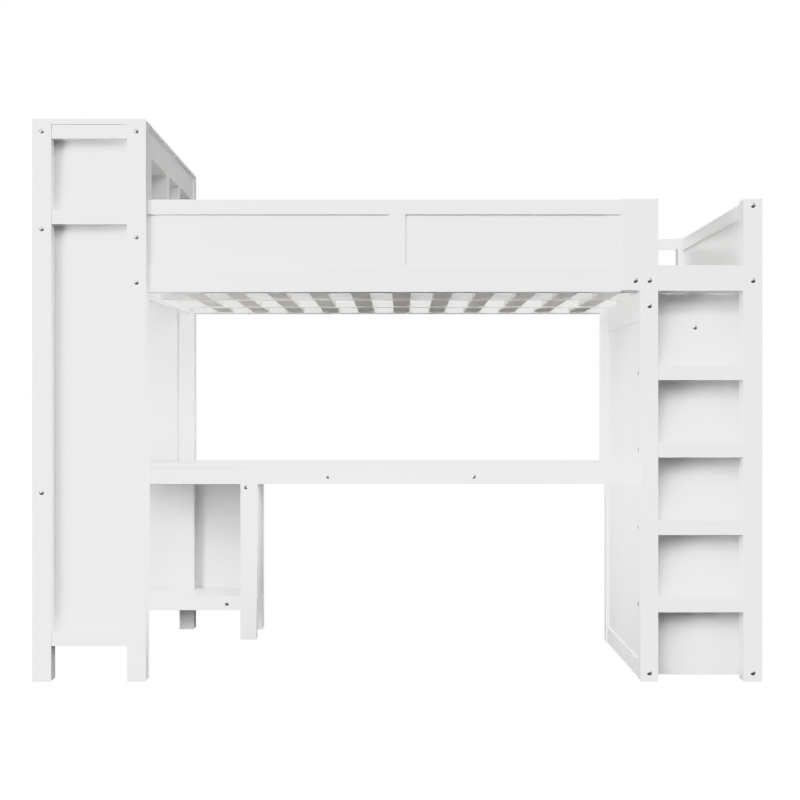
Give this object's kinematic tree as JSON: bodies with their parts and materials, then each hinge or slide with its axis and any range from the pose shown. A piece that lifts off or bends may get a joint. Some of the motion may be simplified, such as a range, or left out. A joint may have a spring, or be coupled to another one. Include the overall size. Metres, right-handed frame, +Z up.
{
  "type": "loft bed with desk",
  "caption": "Loft bed over a long desk, with a headboard storage tower, an under-desk cabinet, a bookcase under the foot end and a step ladder.",
  "frame": {"origin": "on the floor, at the middle of the footprint", "axes": "+X along the bed from the headboard tower to the ladder, +Y from the open front to the wall side, +Z up"},
  "size_m": [2.3416, 1.0656, 1.801],
  "materials": {
    "white_frame": "satin white lacquer on solid wood",
    "white_board": "satin white lacquer on smooth board",
    "white_top": "satin white lacquer, slightly glossier",
    "slat_wood": "thin white stain on pine",
    "zinc_steel": "bright zinc plate",
    "plate_steel": "white powder coat"
  },
  "bodies": {
    "root": {"barrel_nuts": "zinc_steel", "bed_slats": "slat_wood", "bolts": "zinc_steel", "bookcase_back_panel": "white_board", "bookcase_front_rail": "white_frame", "bookcase_rear_left_post": "white_frame", "bookcase_rear_right_post": "white_frame", "bookcase_shelf_bearers": "white_frame", "bookcase_shelves": "white_board", "bookcase_side_panel": "white_board", "bookcase_side_rails": "white_frame", "cabinet_back_panel": "white_board", "cabinet_front_rail": "white_frame", "cabinet_legs": "white_frame", "cabinet_rails": "white_frame", "cabinet_shelf": "white_board", "cabinet_sides": "white_board", "center_beams": "slat_wood", "cubby_dividers": "white_board", "cubby_floor": "white_board", "cubby_stiles": "white_frame", "cubby_top_rail": "white_frame", "desk_apron": "white_frame", "desk_cross_rails": "white_frame", "desk_rear_rail": "white_frame", "desk_top": "white_top", "entry_post": "white_frame", "entry_rail": "white_frame", "foot_front_post": "white_frame", "foot_rear_post": "white_frame", "footboard_bottom_rail": "white_frame", "footboard_panel": "white_board", "footboard_side_rail": "white_frame", "footboard_top_rail": "white_frame", "front_guard_mullion": "white_frame", "front_guard_panels": "white_board", "front_guard_top_rail": "white_frame", "front_side_rail": "white_frame", "headboard_rail": "white_frame", "ladder_back_panel": "white_board", "ladder_left_post": "white_frame", "ladder_treads": "white_frame", "post_tie_plate": "plate_steel", "rear_guard_top_rail": "white_frame", "rear_guard_uprights": "white_frame", "rear_side_rail": "white_frame", "slat_ledgers": "slat_wood", "tower_frame_rails": "white_frame", "tower_front_inner_post": "white_frame", "tower_front_outer_post": "white_frame", "tower_lower_panels": "white_board", "tower_rear_inner_post": "white_frame", "tower_rear_outer_post": "white_frame", "tower_side_low_rail": "white_frame", "tower_side_lower_panel": "white_board", "tower_side_middle_rail": "white_frame", "tower_side_top_rail": "white_frame", "tower_side_upper_panel": "white_board", "tower_top_board": "white_top", "tower_upper_panels": "white_board"}
  },
  "joints": []
}
